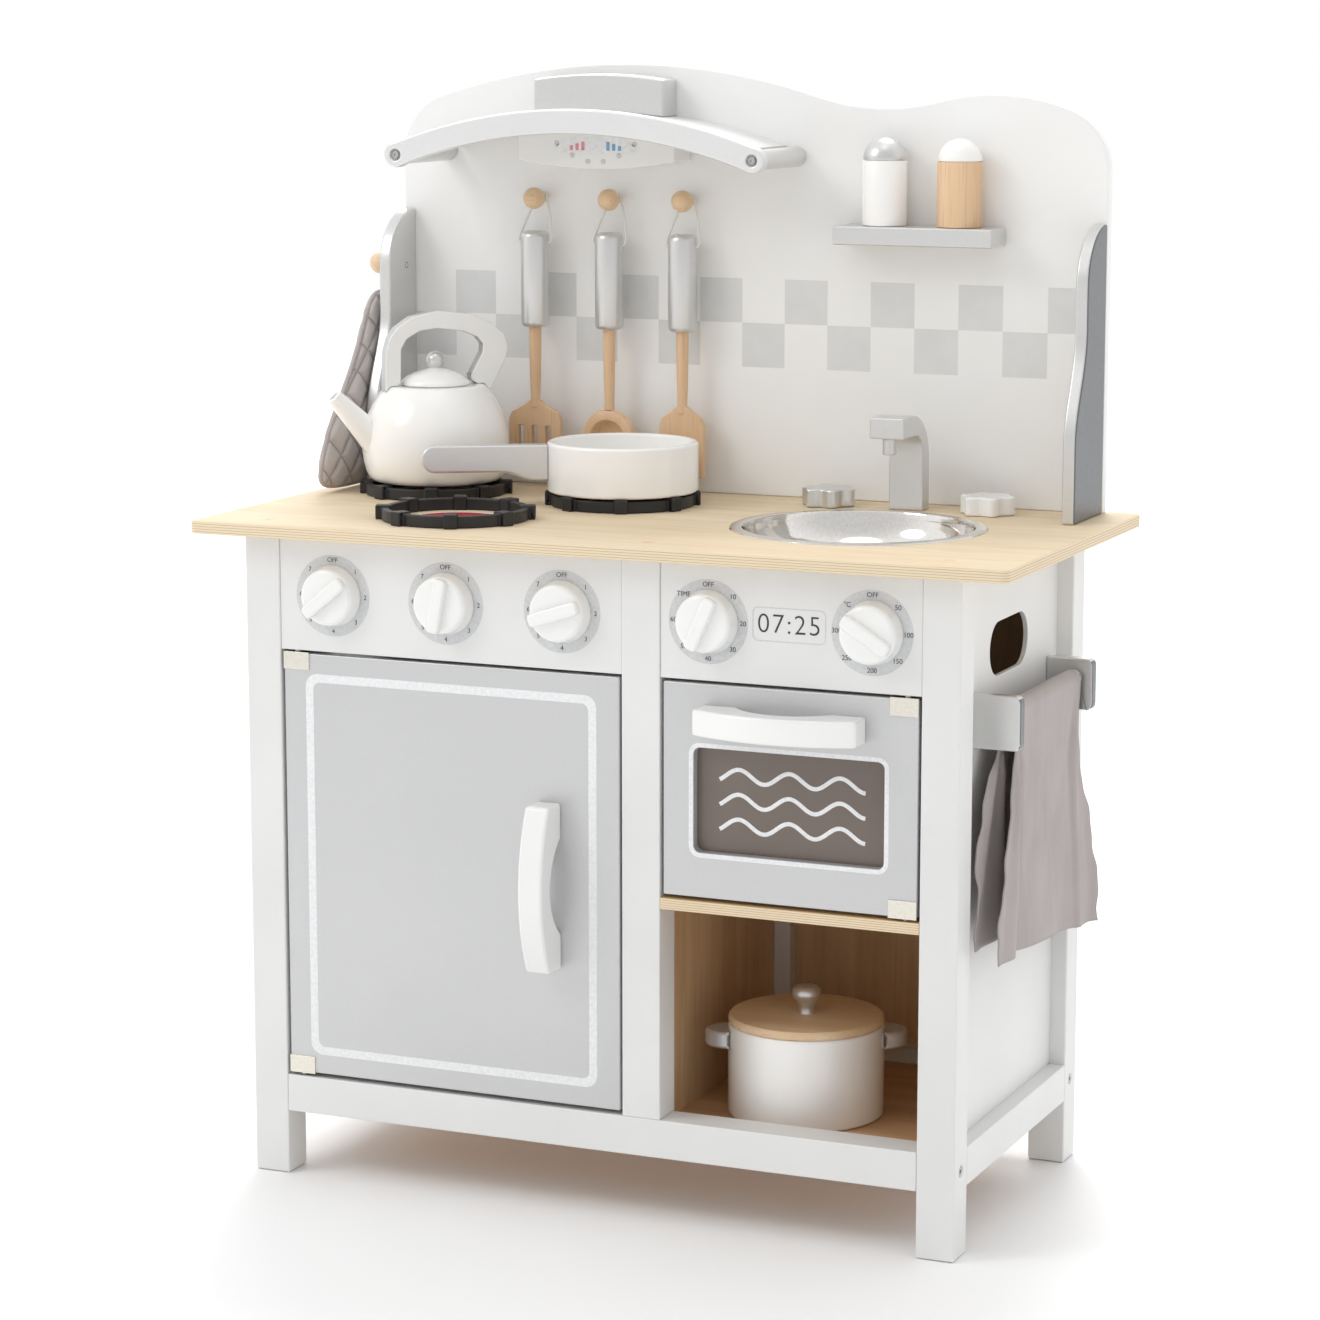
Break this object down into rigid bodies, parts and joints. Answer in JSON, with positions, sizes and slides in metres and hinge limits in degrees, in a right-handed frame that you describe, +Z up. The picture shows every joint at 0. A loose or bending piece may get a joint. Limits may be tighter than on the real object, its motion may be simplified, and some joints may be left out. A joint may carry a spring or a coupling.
{
  "type": "toy kitchen",
  "caption": "Free-standing wooden play kitchen with hinged cupboard and oven doors, turning knobs and taps, sink, hob rings, hood, pegs and lift-off cookware.",
  "frame": {"origin": "centre of the overall box at floor level", "axes": "+X to the right seen from the front, +Y to the back wall, +Z up"},
  "size_m": [0.6, 0.316, 0.781],
  "materials": {
    "white_paint": "satin off-white paint on wood",
    "silver_paint": "silver metallic paint on wood",
    "plywood": "bare plywood",
    "birch_worktop": "clear lacquered birch plywood",
    "beech": "oiled beech",
    "steel": "zinc plated",
    "nickel": "satin nickel",
    "polished_steel": "polished stainless steel",
    "black_plastic": "moulded black plastic",
    "smoked_pane": "smoked acrylic pane with printed lines",
    "gloss_white": "gloss white lacquer on turned wood",
    "salt_paint": "white body and silver head",
    "pepper_wood": "beech body and white head",
    "string": "white polyester string",
    "towel_cloth": "taupe woven cotton",
    "mitt_cloth": "taupe quilted cotton"
  },
  "bodies": {
    "cabinet": {"corner_posts": "white_paint", "middle_posts": "white_paint", "front_rail": "white_paint", "side_and_back_rails": "white_paint", "side_panels": "white_paint", "hob_knob_panel": "white_paint", "oven_knob_panel": "white_paint", "back_wall": "white_paint", "hood_canopy": "white_paint", "hood_control_box": "white_paint", "hood_bar": "white_paint", "left_wing": "silver_paint", "right_wing": "silver_paint", "faucet": "silver_paint", "hood_chimney": "silver_paint", "hood_dowels": "silver_paint", "spice_shelf": "silver_paint", "towel_rail": "silver_paint", "back_panels": "plywood", "partition_panel": "plywood", "floor_panel": "plywood", "oven_shelf": "plywood", "door_catches": "plywood", "worktop": "birch_worktop", "wall_pegs": "beech", "screws": "steel", "hinge_pins": "steel", "sink": "polished_steel", "burner_rings": "black_plastic"},
    "cupboard_door": {"cupboard_door": "silver_paint", "cupboard_handle": "gloss_white", "cupboard_hinge_caps": "nickel"},
    "oven_door": {"oven_door": "silver_paint", "oven_window": "smoked_pane", "oven_handle": "gloss_white", "oven_hinge_caps": "nickel"},
    "hob_knob_1": {"hob_knob_1": "gloss_white"},
    "hob_knob_2": {"hob_knob_2": "gloss_white"},
    "hob_knob_3": {"hob_knob_3": "gloss_white"},
    "timer_knob": {"timer_knob": "gloss_white"},
    "oven_knob": {"oven_knob": "gloss_white"},
    "cold_tap": {"cold_tap": "silver_paint"},
    "hot_tap": {"hot_tap": "gloss_white"},
    "kettle": {"kettle": "gloss_white", "kettle_handle": "gloss_white"},
    "kettle_lid": {"kettle_lid": "gloss_white"},
    "pan": {"pan": "gloss_white", "pan_handle": "silver_paint"},
    "pot": {"pot": "gloss_white"},
    "pot_lid": {"pot_lid": "beech"},
    "salt_shaker": {"salt_shaker": "salt_paint"},
    "pepper_shaker": {"pepper_shaker": "pepper_wood"},
    "slotted_turner": {"slotted_turner": "beech", "slotted_turner_loop": "string"},
    "spoon": {"spoon": "beech", "spoon_loop": "string"},
    "turner": {"turner": "beech", "turner_loop": "string"},
    "towel": {"towel": "towel_cloth"},
    "oven_mitt": {"oven_mitt": "mitt_cloth"}
  },
  "joints": [
    {"name": "cupboard_door_swing", "type": "hinge", "parent": "cabinet", "child": "cupboard_door", "pos_m": [-0.226, -0.1205, 0.227], "axis": [0, 0, -1], "range_deg": [0, 100]},
    {"name": "oven_door_swing", "type": "hinge", "parent": "cabinet", "child": "oven_door", "pos_m": [0.226, -0.1205, 0.305], "axis": [0, 0, 1], "range_deg": [0, 100]},
    {"name": "hob_knob_1_turn", "type": "hinge", "parent": "cabinet", "child": "hob_knob_1", "pos_m": [-0.1955, -0.125, 0.42], "axis": [0, -1, 0], "continuous": true},
    {"name": "hob_knob_2_turn", "type": "hinge", "parent": "cabinet", "child": "hob_knob_2", "pos_m": [-0.1084, -0.125, 0.42], "axis": [0, -1, 0], "continuous": true},
    {"name": "hob_knob_3_turn", "type": "hinge", "parent": "cabinet", "child": "hob_knob_3", "pos_m": [-0.0208, -0.125, 0.42], "axis": [0, -1, 0], "continuous": true},
    {"name": "timer_knob_turn", "type": "hinge", "parent": "cabinet", "child": "timer_knob", "pos_m": [0.0862, -0.125, 0.42], "axis": [0, -1, 0], "continuous": true},
    {"name": "oven_knob_turn", "type": "hinge", "parent": "cabinet", "child": "oven_knob", "pos_m": [0.2022, -0.125, 0.42], "axis": [0, -1, 0], "continuous": true},
    {"name": "cold_tap_turn", "type": "hinge", "parent": "cabinet", "child": "cold_tap", "pos_m": [0.081, 0.111, 0.469], "axis": [0, 0, 1], "continuous": true},
    {"name": "hot_tap_turn", "type": "hinge", "parent": "cabinet", "child": "hot_tap", "pos_m": [0.201, 0.111, 0.469], "axis": [0, 0, 1], "continuous": true},
    {"name": "kettle_lift", "type": "slide", "parent": "cabinet", "child": "kettle", "axis": [0, 0, 1], "range_m": [0, 0.1]},
    {"name": "kettle_lid_lift", "type": "slide", "parent": "kettle", "child": "kettle_lid", "axis": [0, 0, 1], "range_m": [0, 0.012]},
    {"name": "pan_lift", "type": "slide", "parent": "cabinet", "child": "pan", "axis": [0, 0, 1], "range_m": [0, 0.1]},
    {"name": "pot_lift_out", "type": "slide", "parent": "cabinet", "child": "pot", "axis": [0, -0.8, 0.6], "range_m": [0, 0.065]},
    {"name": "pot_lid_lift", "type": "slide", "parent": "pot", "child": "pot_lid", "axis": [0, 0, 1], "range_m": [0, 0.018]},
    {"name": "salt_shaker_lift", "type": "slide", "parent": "cabinet", "child": "salt_shaker", "axis": [0, 0, 1], "range_m": [0, 0.04]},
    {"name": "pepper_shaker_lift", "type": "slide", "parent": "cabinet", "child": "pepper_shaker", "axis": [0, 0, 1], "range_m": [0, 0.04]},
    {"name": "slotted_turner_sway", "type": "hinge", "parent": "cabinet", "child": "slotted_turner", "pos_m": [-0.1585, 0.127, 0.683], "axis": [0, 1, 0], "range_deg": [-4, 4]},
    {"name": "spoon_sway", "type": "hinge", "parent": "cabinet", "child": "spoon", "pos_m": [-0.0984, 0.127, 0.683], "axis": [0, 1, 0], "range_deg": [-4, 4]},
    {"name": "turner_sway", "type": "hinge", "parent": "cabinet", "child": "turner", "pos_m": [-0.0399, 0.127, 0.683], "axis": [0, 1, 0], "range_deg": [-4, 4]},
    {"name": "towel_shift", "type": "slide", "parent": "cabinet", "child": "towel", "axis": [0, 1, 0], "range_m": [-0.005, 0.005]},
    {"name": "oven_mitt_lift_off", "type": "slide", "parent": "cabinet", "child": "oven_mitt", "axis": [-1, 0, 0], "range_m": [0, 0.04]}
  ]
}
